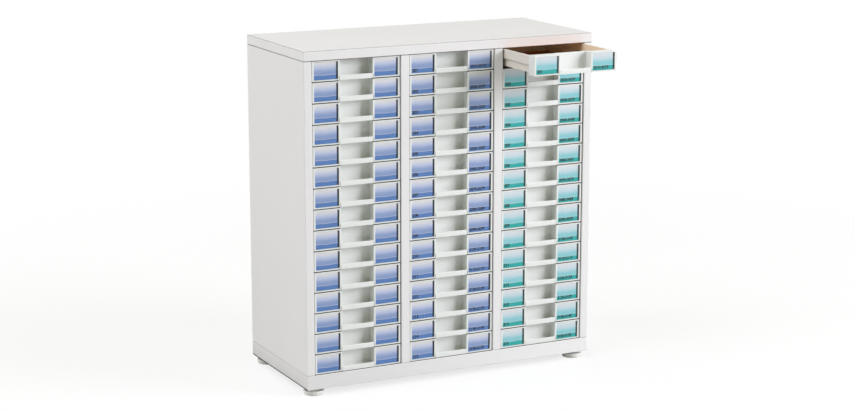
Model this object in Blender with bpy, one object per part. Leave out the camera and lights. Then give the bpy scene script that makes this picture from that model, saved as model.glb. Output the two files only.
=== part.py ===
"""Free-standing cabinet with three columns of shallow A4 drawers, in a board carcass on four levelling feet.

Lengths are in metres. +X is to the right, the drawers open towards -Y and +Z is up. The origin is on the
floor, in the middle of the rectangle that the cabinet and its one pulled-out drawer cover together.
"""

import math

import bmesh
import bpy
from mathutils import Matrix, Vector

# Driving dimensions

# Layout
COLUMNS = ("left", "centre", "right")
ROWS = 15
ROW_PITCH = 0.054
ROW_GAP = 0.002
OPEN_DRAWER = ("right", 1)
PULLED_OUT = 0.165

# Carcass
CABINET_DEPTH = 0.375
TOP_BOARD = 0.025
BASE_BOARD = 0.038
SIDE_BOARD = 0.022
DIVIDER_BOARD = 0.024
BACK_PANEL = 0.008
SEAT_GAP = 0.0003

# Drawer front
DRAWER_WIDTH = 0.242
DRAWER_SIDE_GAP = 0.002
FRONT_SETBACK = 0.003
FRONT_DEPTH = 0.030
FRONT_WALL = 0.003
LABEL_WIDTH = 0.066
LABEL_DEPTH = 0.004
LABEL_BORDER = 0.005
LABEL_SILL = 0.0035
GRIP_POST = 0.0045
GRIP_BACK_WALL = 0.004
GRIP_FLOOR = 0.004
LIP_HEIGHT = 0.0125
LIP_THICKNESS = 0.005

# Drawer tray
TRAY_WALL = 0.003
TRAY_FLOOR = 0.003
TRAY_LIFT = 0.005
TRAY_DROP = 0.001
SHOULDER_HEIGHT = 0.026
RUNNING_GAP = 0.0012
DRAWER_REAR_GAP = 0.012

# Runner cage
CAGE_SHEET = 0.002
RUNNER_REACH = 0.006
RUNNER_THICKNESS = 0.004

# Feet
FOOT_HEIGHT = 0.018
FOOT_RADIUS = 0.0265
FOOT_ROUNDING = 0.003
FOOT_DISC = 0.0105
FOOT_NECK_RADIUS = 0.012
FOOT_INSET = 0.030
STEM_RADIUS = 0.005
STEM_GAP = 0.0003
BORE_COVER = 0.006
BORE_SPARE = 0.004
FOOT_SEGMENTS = 24

# How far a cutting shape reaches past the face it opens
OVERCUT = 0.010

# Points nearer than this are one, and edges bent more than this are shaded sharp
MERGE_DISTANCE = 1e-6
SHARP_ANGLE = math.radians(35)

# Colour and roughness of each material
FINISHES = {
    "white_board": ((0.80, 0.80, 0.78), 0.45),
    "back_panel": ((0.72, 0.72, 0.70), 0.60),
    "drawer_plastic": ((0.84, 0.84, 0.83), 0.35),
    "runner_plastic": ((0.55, 0.52, 0.47), 0.50),
    "foot_plastic": ((0.78, 0.77, 0.75), 0.40),
}

# Sizes that follow from the driving dimensions

OPENING_WIDTH = DRAWER_WIDTH + 2 * DRAWER_SIDE_GAP
COLUMN_PITCH = OPENING_WIDTH + DIVIDER_BOARD
CABINET_WIDTH = len(COLUMNS) * COLUMN_PITCH - DIVIDER_BOARD + 2 * SIDE_BOARD
BASE_TOP = FOOT_HEIGHT + BASE_BOARD
CARCASS_TOP = BASE_TOP + ROWS * ROW_PITCH
BORE_DEPTH = BASE_BOARD - BORE_COVER
STEM_LENGTH = BORE_DEPTH - BORE_SPARE

FRONT_Y = (PULLED_OUT - FRONT_SETBACK - CABINET_DEPTH) / 2
BACK_Y = FRONT_Y + CABINET_DEPTH
PANEL_Y = BACK_Y - BACK_PANEL
DRAWER_Y = FRONT_Y + FRONT_SETBACK

CAGE_FRONT_Y = DRAWER_Y + FRONT_DEPTH + SEAT_GAP
CAGE_BACK_Y = PANEL_Y - SEAT_GAP
CAGE_HALF = OPENING_WIDTH / 2 - SEAT_GAP
SHEET_HALF = CAGE_HALF - CAGE_SHEET
RUNNER_HALF = SHEET_HALF - RUNNER_REACH

FRONT_HEIGHT = ROW_PITCH - ROW_GAP
DRAWER_HALF = DRAWER_WIDTH / 2
GRIP_HALF = DRAWER_HALF - LABEL_BORDER - LABEL_WIDTH - GRIP_POST
DRAWER_LENGTH = CAGE_BACK_Y - CAGE_SHEET - DRAWER_REAR_GAP - DRAWER_Y
TRAY_TOP = FRONT_HEIGHT - TRAY_DROP
TRAY_UPPER_HALF = SHEET_HALF - RUNNING_GAP
TRAY_LOWER_HALF = RUNNER_HALF - RUNNING_GAP


# Modelling helpers


def across(x, y_z):
    """The corner of an outline in Y and Z, carried along X."""
    return Vector((x, *y_z))


def along(y, x_z):
    """The corner of an outline in X and Z, carried along Y."""
    return Vector((x_z[0], y, x_z[1]))


def add_prism(shape, outline, corner, start, end):
    """Adds a closed prism to a bmesh: a flat outline carried from start to end along the axis of corner()."""
    near = [shape.verts.new(corner(start, point)) for point in outline]
    far = [shape.verts.new(corner(end, point)) for point in outline]
    faces = [shape.faces.new(near), shape.faces.new(far)]
    for i in range(len(outline)):
        faces.append(shape.faces.new((near[i - 1], near[i], far[i], far[i - 1])))
    bmesh.ops.recalc_face_normals(shape, faces=faces)


def add_box(shape, low, high):
    """Adds a closed box between two opposite corners to a bmesh."""
    outline = [(low[1], low[2]), (high[1], low[2]), (high[1], high[2]), (low[1], high[2])]
    add_prism(shape, outline, across, low[0], high[0])


def finished_mesh(shape, name):
    """Turns a bmesh into a mesh and frees it."""
    mesh = bpy.data.meshes.new(name)
    shape.to_mesh(mesh)
    shape.free()
    return mesh


def add_object(name, mesh, material, location):
    """Puts a mesh into the scene as one named piece of the cabinet."""
    piece = bpy.data.objects.new(name, mesh)
    if not mesh.materials:
        mesh.materials.append(material)
    piece.location = location
    piece.parent = bpy.data.objects["cabinet"]
    bpy.context.collection.objects.link(piece)
    return piece


def combined(name, solid, other, operation):
    """The mesh that a Boolean of two meshes leaves."""
    kept = bpy.data.objects.new(name, solid)
    tool = bpy.data.objects.new(name + "_tool", other)
    for item in (kept, tool):
        bpy.context.collection.objects.link(item)
    boolean = kept.modifiers.new("combine", "BOOLEAN")
    boolean.operation = operation
    boolean.solver = "EXACT"
    boolean.object = tool
    evaluated = kept.evaluated_get(bpy.context.evaluated_depsgraph_get())
    mesh = bpy.data.meshes.new_from_object(evaluated)
    mesh.name = name
    for item in (kept, tool):
        bpy.data.objects.remove(item)
    return mesh


def add_materials():
    """A Principled material of one colour for each finish, by name."""
    materials = {}
    for name, (color, roughness) in FINISHES.items():
        material = bpy.data.materials.new(name)
        material.use_nodes = True
        shader = material.node_tree.nodes["Principled BSDF"]
        shader.inputs["Base Color"].default_value = (*color, 1.0)
        shader.inputs["Roughness"].default_value = roughness
        shader.inputs["Metallic"].default_value = 0.0
        material.diffuse_color = (*color, 1.0)
        materials[name] = material
    return materials


# Carcass


def add_board(name, low, high, material):
    """One flat board between two opposite corners, with its origin in its middle."""
    low, high = Vector(low), Vector(high)
    middle = (low + high) / 2
    shape = bmesh.new()
    add_box(shape, low - middle, high - middle)
    return add_object(name, finished_mesh(shape, name), material, middle)


def column_x(column):
    """The middle of a column of drawers, counted from the left."""
    return (column - (len(COLUMNS) - 1) / 2) * COLUMN_PITCH


def foot_places():
    """The name and the axis of each foot."""
    half_span = CABINET_WIDTH / 2 - FOOT_INSET
    places = []
    for depth_word, y in (("front", FRONT_Y + FOOT_INSET), ("rear", BACK_Y - FOOT_INSET)):
        for side_word, x in (("left", -half_span), ("right", half_span)):
            places.append((f"{depth_word}_{side_word}_foot", x, y))
    return places


def add_base(material):
    """The base board, with a blind bore from below for the stem of each foot."""
    half = CABINET_WIDTH / 2
    board = bmesh.new()
    add_box(board, (-half, FRONT_Y, FOOT_HEIGHT), (half, BACK_Y, BASE_TOP))
    bores = bmesh.new()
    middle_z = FOOT_HEIGHT + (BORE_DEPTH - OVERCUT) / 2
    for _, x, y in foot_places():
        bmesh.ops.create_cone(
            bores,
            cap_ends=True,
            segments=FOOT_SEGMENTS,
            radius1=STEM_RADIUS + STEM_GAP,
            radius2=STEM_RADIUS + STEM_GAP,
            depth=BORE_DEPTH + OVERCUT,
            matrix=Matrix.Translation((x, y, middle_z)),
        )
    mesh = combined(
        "base_board", finished_mesh(board, "board"), finished_mesh(bores, "bores"), "DIFFERENCE"
    )
    add_object("base_board", mesh, material, (0, 0, 0))


def add_carcass(board, panel):
    """Top, sides, dividers and back: boards that stand on the base and butt against each other."""
    half = CABINET_WIDTH / 2
    inner_half = half - SIDE_BOARD
    low_z, high_z = BASE_TOP + SEAT_GAP, CARCASS_TOP - SEAT_GAP
    add_board("top_board", (-half, FRONT_Y, CARCASS_TOP), (half, BACK_Y, CARCASS_TOP + TOP_BOARD), board)
    add_board("left_side", (-half, FRONT_Y, low_z), (-inner_half, BACK_Y, high_z), board)
    add_board("right_side", (inner_half, FRONT_Y, low_z), (half, BACK_Y, high_z), board)
    panel_half = inner_half - SEAT_GAP
    add_board("back_panel", (-panel_half, PANEL_Y, low_z), (panel_half, BACK_Y, high_z), panel)
    divider_back_y = PANEL_Y - SEAT_GAP
    for column in range(len(COLUMNS) - 1):
        name = f"{COLUMNS[column]}_divider"
        left_x = column_x(column) + OPENING_WIDTH / 2
        low = (left_x, FRONT_Y, low_z)
        high = (left_x + DIVIDER_BOARD, divider_back_y, high_z)
        add_board(name, low, high, board)


# Runner cages


def row_bottom(row):
    """The height of the lower edge of a drawer front. Rows count down from 1 at the top."""
    return BASE_TOP + (ROWS - row) * ROW_PITCH + ROW_GAP / 2


def runner_side(side):
    """The inner face of one cage wall, from bottom to top: the sheet, stepping in at each runner."""
    points = [(side * SHEET_HALF, BASE_TOP - OVERCUT)]
    for row in range(ROWS, 0, -1):
        seat_z = row_bottom(row) + SHOULDER_HEIGHT - SEAT_GAP
        for z, first, second in (
            (seat_z - RUNNER_THICKNESS, SHEET_HALF, RUNNER_HALF),
            (seat_z, RUNNER_HALF, SHEET_HALF),
        ):
            points += [(side * first, z), (side * second, z)]
    points.append((side * SHEET_HALF, CARCASS_TOP + OVERCUT))
    return points


def cage_mesh():
    """A sheet bent to a U around one column, open to the front, with a pair of runners for each drawer."""
    block = bmesh.new()
    low_z, high_z = BASE_TOP + SEAT_GAP, CARCASS_TOP - SEAT_GAP
    add_box(block, (-CAGE_HALF, CAGE_FRONT_Y, low_z), (CAGE_HALF, CAGE_BACK_Y, high_z))
    space = bmesh.new()
    outline = runner_side(1) + runner_side(-1)[::-1]
    add_prism(space, outline, along, CAGE_FRONT_Y - OVERCUT, CAGE_BACK_Y - CAGE_SHEET)
    return combined(
        "runner_cage", finished_mesh(block, "block"), finished_mesh(space, "space"), "DIFFERENCE"
    )


# Drawers


def tray_outline(lower_half, upper_half, floor_z, step_z, top_z):
    """A tray's section: narrow below the step, where it passes between the runners, and wide above it."""
    right = [(lower_half, floor_z), (lower_half, step_z), (upper_half, step_z), (upper_half, top_z)]
    left = [(-x, z) for x, z in reversed(right)]
    return right + left


def add_front_hollows(shape):
    """The label pockets, and the hollows that open under the two label blocks behind them."""
    label_far = DRAWER_HALF - LABEL_BORDER
    label_near = label_far - LABEL_WIDTH
    hollow_far = DRAWER_HALF - FRONT_WALL
    hollow_near = GRIP_HALF + FRONT_WALL
    hollow_y = (LABEL_DEPTH + FRONT_WALL, FRONT_DEPTH - FRONT_WALL)
    for side in (-1, 1):
        pocket_x = sorted((side * label_near, side * label_far))
        hollow_x = sorted((side * hollow_near, side * hollow_far))
        add_box(
            shape,
            (pocket_x[0], -OVERCUT, LABEL_SILL),
            (pocket_x[1], LABEL_DEPTH, FRONT_HEIGHT - LABEL_SILL),
        )
        add_box(
            shape,
            (hollow_x[0], hollow_y[0], -OVERCUT),
            (hollow_x[1], hollow_y[1], FRONT_HEIGHT - FRONT_WALL),
        )


def add_grip(shape):
    """The finger grip: a recess open to the front and the top, with a trough behind its lip."""
    back_y = FRONT_DEPTH - GRIP_BACK_WALL
    top_z = FRONT_HEIGHT + OVERCUT
    outline = [
        (-OVERCUT, LIP_HEIGHT),
        (LIP_THICKNESS, LIP_HEIGHT),
        (LIP_THICKNESS, GRIP_FLOOR),
        (back_y, GRIP_FLOOR),
        (back_y, top_z),
        (-OVERCUT, top_z),
    ]
    add_prism(shape, outline, across, -GRIP_HALF, GRIP_HALF)


def drawer_mesh():
    """One drawer, with its origin at the middle of the lower front edge: front block, tray and hollows."""
    front = bmesh.new()
    add_box(front, (-DRAWER_HALF, 0, 0), (DRAWER_HALF, FRONT_DEPTH, FRONT_HEIGHT))
    tray = bmesh.new()
    outer = tray_outline(TRAY_LOWER_HALF, TRAY_UPPER_HALF, TRAY_LIFT, SHOULDER_HEIGHT, TRAY_TOP)
    root_y = FRONT_DEPTH - FRONT_WALL / 2
    add_prism(tray, outer, along, root_y, DRAWER_LENGTH)
    solid = combined("drawer_solid", finished_mesh(front, "front"), finished_mesh(tray, "tray"), "UNION")

    hollows = bmesh.new()
    inner = tray_outline(
        TRAY_LOWER_HALF - TRAY_WALL,
        TRAY_UPPER_HALF - TRAY_WALL,
        TRAY_LIFT + TRAY_FLOOR,
        SHOULDER_HEIGHT + TRAY_WALL,
        FRONT_HEIGHT + OVERCUT,
    )
    add_prism(hollows, inner, along, FRONT_DEPTH, DRAWER_LENGTH - TRAY_WALL)
    add_front_hollows(hollows)
    add_grip(hollows)
    return combined("drawer", solid, finished_mesh(hollows, "hollows"), "DIFFERENCE")


def add_columns(drawer_plastic, runner_plastic):
    """The runner cage and the drawers of each column, all of one shape."""
    drawer, cage = drawer_mesh(), cage_mesh()
    for column, word in enumerate(COLUMNS):
        x = column_x(column)
        add_object(f"{word}_runner_cage", cage, runner_plastic, (x, 0, 0))
        for row in range(1, ROWS + 1):
            pull = PULLED_OUT if (word, row) == OPEN_DRAWER else 0
            place = (x, DRAWER_Y - pull, row_bottom(row))
            add_object(f"drawer_{word}_{row:02d}", drawer, drawer_plastic, place)


# Feet


def foot_mesh():
    """A turned foot, with its origin on the floor on its axis: disc, neck, and a stem for the base."""
    neck_top = FOOT_HEIGHT - SEAT_GAP
    stem_top = FOOT_HEIGHT + STEM_LENGTH
    profile = [
        (0, 0),
        (FOOT_RADIUS - FOOT_ROUNDING, 0),
        (FOOT_RADIUS, FOOT_ROUNDING),
        (FOOT_RADIUS, FOOT_DISC - FOOT_ROUNDING),
        (FOOT_RADIUS - FOOT_ROUNDING, FOOT_DISC),
        (FOOT_NECK_RADIUS, FOOT_DISC),
        (FOOT_NECK_RADIUS, neck_top),
        (STEM_RADIUS, neck_top),
        (STEM_RADIUS, stem_top),
        (0, stem_top),
    ]
    shape = bmesh.new()
    verts = [shape.verts.new((r, 0, z)) for r, z in profile]
    edges = [shape.edges.new(pair) for pair in zip(verts, verts[1:])]
    bmesh.ops.spin(
        shape,
        geom=verts + edges,
        axis=(0, 0, 1),
        cent=(0, 0, 0),
        angle=math.tau,
        steps=FOOT_SEGMENTS,
        use_merge=True,
    )
    bmesh.ops.remove_doubles(shape, verts=shape.verts, dist=MERGE_DISTANCE)
    bmesh.ops.recalc_face_normals(shape, faces=shape.faces)
    mesh = finished_mesh(shape, "foot")
    mesh.shade_smooth()
    mesh.set_sharp_from_angle(angle=SHARP_ANGLE)
    return mesh


def add_feet(material):
    """Four feet under the corners of the base, all of one shape."""
    foot = foot_mesh()
    for name, x, y in foot_places():
        add_object(name, foot, material, (x, y, 0))


# Assembly


def build():
    """Clears the scene and builds the cabinet."""
    for item in list(bpy.data.objects):
        bpy.data.objects.remove(item)
    bpy.context.collection.objects.link(bpy.data.objects.new("cabinet", None))
    materials = add_materials()
    add_carcass(materials["white_board"], materials["back_panel"])
    add_base(materials["white_board"])
    add_columns(materials["drawer_plastic"], materials["runner_plastic"])
    add_feet(materials["foot_plastic"])


build()
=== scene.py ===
"""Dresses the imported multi-drawer cabinet: boards, drawers, labels and feet around its CAD frame.

Every piece is a skin of numpy points in metres, in the frame of the CAD part: +X to the right, the
drawers open towards -Y, +Z up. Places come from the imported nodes, sizes and colours from the property
groups, and fine details from the constants below.
"""

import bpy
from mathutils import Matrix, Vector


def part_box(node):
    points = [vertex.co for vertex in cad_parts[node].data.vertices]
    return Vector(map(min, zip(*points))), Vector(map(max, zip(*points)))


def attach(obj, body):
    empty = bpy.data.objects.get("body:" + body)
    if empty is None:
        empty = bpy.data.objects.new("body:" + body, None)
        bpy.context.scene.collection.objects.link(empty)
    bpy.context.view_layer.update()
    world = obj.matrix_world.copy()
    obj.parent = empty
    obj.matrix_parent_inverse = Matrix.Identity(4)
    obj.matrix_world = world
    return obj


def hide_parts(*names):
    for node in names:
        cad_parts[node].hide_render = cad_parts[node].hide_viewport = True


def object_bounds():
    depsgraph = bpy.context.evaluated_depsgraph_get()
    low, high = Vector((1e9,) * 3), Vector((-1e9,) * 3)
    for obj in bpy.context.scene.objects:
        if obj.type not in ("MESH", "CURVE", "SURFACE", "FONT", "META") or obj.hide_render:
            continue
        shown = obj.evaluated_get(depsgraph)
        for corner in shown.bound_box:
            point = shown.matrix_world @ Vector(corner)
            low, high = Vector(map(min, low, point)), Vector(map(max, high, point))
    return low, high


bl_info = {
    "name": "Multi-drawer cabinet",
    "version": (1, 0, 0),
    "blender": (4, 5, 0),
    "location": "3D View > Sidebar > Cabinet",
    "description": "Dresses the packed multi-drawer cabinet around its CAD frame",
    "category": "Object",
}

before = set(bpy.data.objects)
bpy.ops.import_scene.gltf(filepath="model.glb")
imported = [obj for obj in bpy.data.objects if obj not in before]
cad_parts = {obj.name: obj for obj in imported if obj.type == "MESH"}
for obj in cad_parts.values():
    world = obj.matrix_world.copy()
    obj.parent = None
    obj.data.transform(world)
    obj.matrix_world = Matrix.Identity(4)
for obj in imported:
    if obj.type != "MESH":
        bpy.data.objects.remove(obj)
CAD_BOX = [list(corner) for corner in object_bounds()]

import bmesh
import bpy
import numpy as np
from mathutils import Vector

BOARDS = ("top_board", "left_side", "right_side", "left_divider", "centre_divider")
COLUMNS = ("left", "centre", "right")
FEET = ("front_left_foot", "front_right_foot", "rear_left_foot", "rear_right_foot")
DRAWERS = sorted(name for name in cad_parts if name.startswith("drawer_"))
ORIGIN = (0.0, 0.0, 0.0)
WHITE = (1.0, 1.0, 1.0, 1.0)

# Softening of a CAD shape: reach of the merging, largest angle in a flat, smallest at a bevelled edge
LOOSE_CORNER = 1e-6
FLAT_ANGLE = np.radians(1.0)
SHARP_ANGLE = np.radians(50.0)

# Steps across a rounded edge, at a corner of a ring, in a quarter of a foot and in a turn of thread
EDGE_STEPS = 3
CORNER_STEPS = 3
ROUND_STEPS = 10
THREAD_STEPS = 6
CORNER_SIGNS = np.array([(1, 1), (-1, 1), (-1, -1), (1, -1)], float)
# How far a cap is drawn in from the edge around it, in radii of that edge
CAP_RADII = 4

# Finish numbers beside 0: on a drawer, on a printed card and on a foot
INSIDE, TRAY = 1, 2
INK = 1
STEM = 1

# Height of the painted shadow line along the lower edge of the base, and how far its edge wavers
BASE_SHADOW_HEIGHT = 0.0042
BASE_SHADOW_WAVER = 0.0008

# How far the grip reaches into the blocks beside it
GRIP_OVERLAP = 0.0025
# Slope of the sides of a label pocket, in edge radii
DRAFT = 0.25
# How far the tray reaches into the front block, above and below its shoulder
UPPER_ROOT, LOWER_ROOT = 0.0015, 0.001
# How far the inside of the tray stays behind the front block, above and below its shoulder
UPPER_ROOM, LOWER_ROOM = 0.0002, 0.0005
# Step at the back of the tray, its upright corners, and the cap of its floor in from the walls
TRAY_STEP = 0.0005
TRAY_CORNER = 0.0025
TRAY_CAP = 0.012
# Gaps of a hardboard sheet: at the sides and the front, at the back, and under it
SHEET_GAP = 0.002
SHEET_BACK_GAP = 0.003
SHEET_SEAT = 0.0001

# Gap behind a label card, and lift of the ink off the card
CARD_SEAT = 0.0001
INK_LIFT = 0.00005
# Figures: margin, thickening in units of their size, and steps of their curves
NUMBER_MARGIN = 0.003
NUMBER_WEIGHT = 0.045
NUMBER_STEPS = 3
# Colours of a printed card, from its upper edge down to its foot band
PRINT_PARTS = ("top", "middle", "low", "band")

# Foot: caps as shares of disc and neck, flare as a share of the disc's height, and root of the stem
DISC_CAP = 0.55
NECK_CAP = 0.6
FLARE = 0.4
STEM_ROOT = 0.001

# Azimuth and elevation of each lamp in degrees, and the side of its square in metres
LAMPS = {"key": (50, 21, 3.6), "fill": (-94, 14, 4.0), "top": (-82, 58, 4.0), "back": (193, 14, 3.0)}
SENSOR_MILLIMETRES = 36.0


def node_box(name):
    """The lowest and highest corner of a CAD node, as arrays."""
    low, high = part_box(name)
    return np.array(low), np.array(high)


def linear(red, green, blue):
    """A display colour of 0 to 255 as the linear colour that a shader takes."""
    share = np.array([red, green, blue]) / 255
    bright = ((share + 0.055) / 1.055) ** 2.4
    return tuple(float(c) for c in np.where(share > 0.04045, bright, share / 12.92))


# Sizes and colours that a user may change


def number(name, description, default, **more):
    """A plain number."""
    return bpy.props.FloatProperty(name=name, description=description, default=default, **more)


def length(name, description, default):
    """A length in metres."""
    return number(name, description, default, min=0.0, unit="LENGTH", precision=4)


def angle(name, description, degrees):
    """An angle, given in degrees."""
    return number(name, description, float(np.radians(degrees)), subtype="ANGLE")


def tint(name, description, display):
    """A colour, given as it shows on a display."""
    return bpy.props.FloatVectorProperty(
        name=name, description=description, default=linear(*display), min=0.0, max=1.0, subtype="COLOR"
    )


def power(name, description, default):
    """The power of a lamp in watts."""
    return number(name, description, default, min=0.0, unit="POWER")


def share_of(name, description, default):
    """A share from 0 to 1."""
    return number(name, description, default, min=0.0, max=1.0, subtype="FACTOR")


class CabinetBoards(bpy.types.PropertyGroup):
    """The board carcass."""

    edge_radius: length("Edge radius", "Rounding of the edges of the boards", 0.0016)
    colour: tint("Board colour", "Coating of the boards", (237, 235, 236))
    # Partly the edge band's seam, partly painted shade: the rounded board edges darken into outline lines
    edge_seam_shade_colour: tint("Edge colour", "Worn edge strip of the boards", (122, 122, 119))
    # Painted shadow: the dark line along the lower edge of the base's ends stands for the shade under the
    # base
    base_shadow_colour: tint("Grime colour", "Lower edge of the base", (58, 60, 60))
    back_colour: tint("Back colour", "Coating of the back panel", (226, 225, 221))
    runner_colour: tint("Runner colour", "Plastic of the runner cages", (186, 158, 116))
    # Painted shade: dark strips put in the gaps between and beside the drawers, where there is only
    # shadow
    shade_strip_colour: tint("Strip colour", "Plastic of the strips between the rows", (38, 37, 34))
    strip_thickness: length("Strip thickness", "Thickness of a strip between the rows", 0.0024)
    strip_depth: length("Strip depth", "Front to back of a strip", 0.022)
    strip_setback: length("Strip setback", "Strips behind the drawer fronts", 0.0008)
    ledge_reach: length("Ledge reach", "Lowest and highest strip before the drawer fronts", 0.0012)
    edge_strip: length("Edge strip", "Thickness of the strips at the boards", 0.0007)


class CabinetDrawers(bpy.types.PropertyGroup):
    """The drawer shells. Lengths count from the lower front edge of a drawer."""

    edge_radius: length("Edge radius", "Rounding of the moulded edges", 0.0008)
    block_trim: length("Block trim", "Label blocks inside the upper and lower edge of the grip", 0.0004)
    front_depth: length("Front depth", "Thickness of the front block", 0.030)
    label_border: length("Label border", "Frame beside a label pocket", 0.005)
    label_width: length("Label width", "Width of a label pocket", 0.066)
    label_sill: length("Label sill", "Frame under and over a label pocket", 0.0035)
    label_depth: length("Label depth", "Depth of a label pocket", 0.004)
    grip_post: length("Grip post", "Wall between a label pocket and the grip", 0.0045)
    grip_wall: length("Grip wall", "Wall behind the grip", 0.004)
    grip_floor: length("Grip floor", "Floor of the trough behind the lip", 0.004)
    lip_height: length("Lip height", "Height of the lip of the grip", 0.0125)
    lip_thickness: length("Lip thickness", "Thickness of the lip of the grip", 0.005)
    wall: length("Tray wall", "Thickness of the walls of the tray", 0.003)
    lift: length("Tray lift", "Underside of the tray", 0.005)
    drop: length("Tray drop", "Rim of the tray below the top of the front", 0.001)
    shoulder: length("Shoulder", "Height of the step that runs on the runners", 0.026)
    rim_height: length("Rim height", "Height of the thicker rim of the tray", 0.0045)
    rim_step: length("Rim step", "Tray wall inside the face of its rim", 0.0007)
    upper_inset: length("Upper inset", "Tray above the shoulder, inside the front's side", 0.0015)
    lower_inset: length("Lower inset", "Tray below the shoulder, inside the front's side", 0.0075)
    bottom_sheet: length("Bottom sheet", "Thickness of the hardboard bottom", 0.0025)
    colour: tint("Plastic colour", "Front blocks of the drawers", (234, 236, 234))
    # Painted warm bounce: the trays' outside is the front's plastic, tinted warm for reflected light
    tray_warm_bounce_colour: tint("Tray colour", "Outside of the trays", (232, 224, 215))
    inside_colour: tint("Inside colour", "Inside of the drawers", (249, 238, 213))
    bottom_colour: tint("Bottom colour", "Hardboard bottom", (196, 122, 76))


class CabinetLabels(bpy.types.PropertyGroup):
    """The label cards, their print and their clear covers."""

    # Painted shadow: the dark band at a card's right end stands for the shadow of the pocket's wall
    painted_shadow: length("Spine", "Width of the dark spine at the right end of a card", 0.0034)
    card_thickness: length("Card thickness", "Thickness of a label card on its carrier", 0.0021)
    card_gap: length("Card gap", "Gap between a card and its pocket", 0.0003)
    cover_thickness: length("Cover thickness", "Thickness of a clear cover", 0.0008)
    cover_setback: length("Cover setback", "Cover behind the front's face", 0.0006)
    number_height: length("Number height", "Height of the printed numbers", 0.0084)
    blue_top: tint("Blue top", "Top of the blue labels", (249, 247, 249))
    blue_middle: tint("Blue middle", "Middle of the blue labels", (206, 216, 245))
    blue_low: tint("Blue low", "Blue labels above the foot band", (146, 168, 216))
    blue_band: tint("Blue band", "Foot band of the blue labels", (88, 134, 200))
    teal_top: tint("Teal top", "Top of the teal labels", (242, 246, 251))
    teal_middle: tint("Teal middle", "Middle of the teal labels", (214, 234, 243))
    teal_low: tint("Teal low", "Teal labels above the foot band", (146, 218, 226))
    teal_band: tint("Teal band", "Foot band of the teal labels", (6, 178, 173))
    ink: tint("Ink", "Printed numbers", (8, 10, 22))


class CabinetFeet(bpy.types.PropertyGroup):
    """The levelling feet."""

    rounding: length("Foot rounding", "Rounding of the edges of a foot", 0.003)
    disc_height: length("Disc height", "Height of the disc of a foot", 0.0105)
    neck_radius: length("Neck radius", "Radius of the neck between disc and base", 0.012)
    stem_radius: length("Stem radius", "Radius of the threaded stem", 0.005)
    seat_gap: length("Seat gap", "Gap between a foot and the base", 0.0003)
    thread_pitch: length("Thread pitch", "Rise of the thread in one turn", 0.0015)
    thread_depth: length("Thread depth", "Depth of the thread", 0.0008)
    colour: tint("Foot colour", "Plastic of the feet", (232, 230, 226))


class CabinetStage(bpy.types.PropertyGroup):
    """Floor, lamps and camera."""

    floor_half: length("Floor half", "Half the side of the floor", 60.0)
    floor_near: length("Floor near", "The white share of the floor grows from here", 0.9)
    floor_far: length("Floor far", "The floor is all white from here", 3.0)
    floor_colour: tint("Floor colour", "Plain pale floor, as it shows", (250, 250, 250))
    bounce_colour: tint("Bounce colour", "Floor as the light meets it", (205, 205, 205))
    floor_glow: share_of("Floor glow", "White share of the floor at the cabinet", 0.75)
    ambient: share_of("Ambient", "Light from all round", 0.235)
    ambient_colour: tint("Ambient colour", "Colour of the light from all round", (251, 255, 208))
    key_power: power("Key power", "Lamp at the right front", 480.0)
    fill_power: power("Fill power", "Lamp at the left", 99.0)
    top_power: power("Top power", "Lamp above, at the left", 232.0)
    back_power: power("Back power", "Lamp behind the cabinet", 170.0)
    lamp_colour: tint("Lamp colour", "Colour of the lamps", (247, 247, 255))
    lamp_distance: length("Lamp distance", "From the middle of the cabinet", 7.0)
    camera_place: bpy.props.FloatVectorProperty(
        name="Camera place",
        description="Where the camera stands",
        default=(-2.3886, -4.7196, 1.5808),
        subtype="TRANSLATION",
        unit="LENGTH",
    )
    camera_yaw: angle("Camera yaw", "Turn to the right of straight ahead", 26.65)
    camera_pitch: angle("Camera pitch", "Tilt below level", 12.126)
    camera_lens: number("Camera lens", "Focal length in millimetres", 86.16, min=1.0)


# Skins: points, faces and what varies over them


class Skin:
    """Points and faces of one piece, with a bend for each point and a finish number for each face.

    The bend is 1 along the middle of a rounded outer edge, -1 along an inner corner and 0 on flats.
    """

    def __init__(self, points, faces, bend=0.0, finish=0, print_uv=0.0):
        self.points, self.faces = points, faces
        self.bend = np.zeros(len(points)) + bend
        self.finish = np.zeros(len(faces), int) + finish
        self.print_uv = np.zeros((len(points), 2)) + print_uv

    def __add__(self, other):
        """Both skins as one."""
        first = len(self.points)
        return Skin(
            np.concatenate([self.points, other.points]),
            self.faces + [[first + corner for corner in face] for face in other.faces],
            np.concatenate([self.bend, other.bend]),
            np.concatenate([self.finish, other.finish]),
            np.concatenate([self.print_uv, other.print_uv]),
        )


def span(step):
    """The length of each step along a profile: between rings, by their widest change and their rise."""
    if step.shape[-1] == 2:
        return np.hypot(step[:, 0], step[:, 1])[:, None]
    wide = abs(step[:, 0:2]) + abs(step[:, 2:4])
    return np.hypot(wide.max(axis=1), step[:, 5])[:, None]


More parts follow.
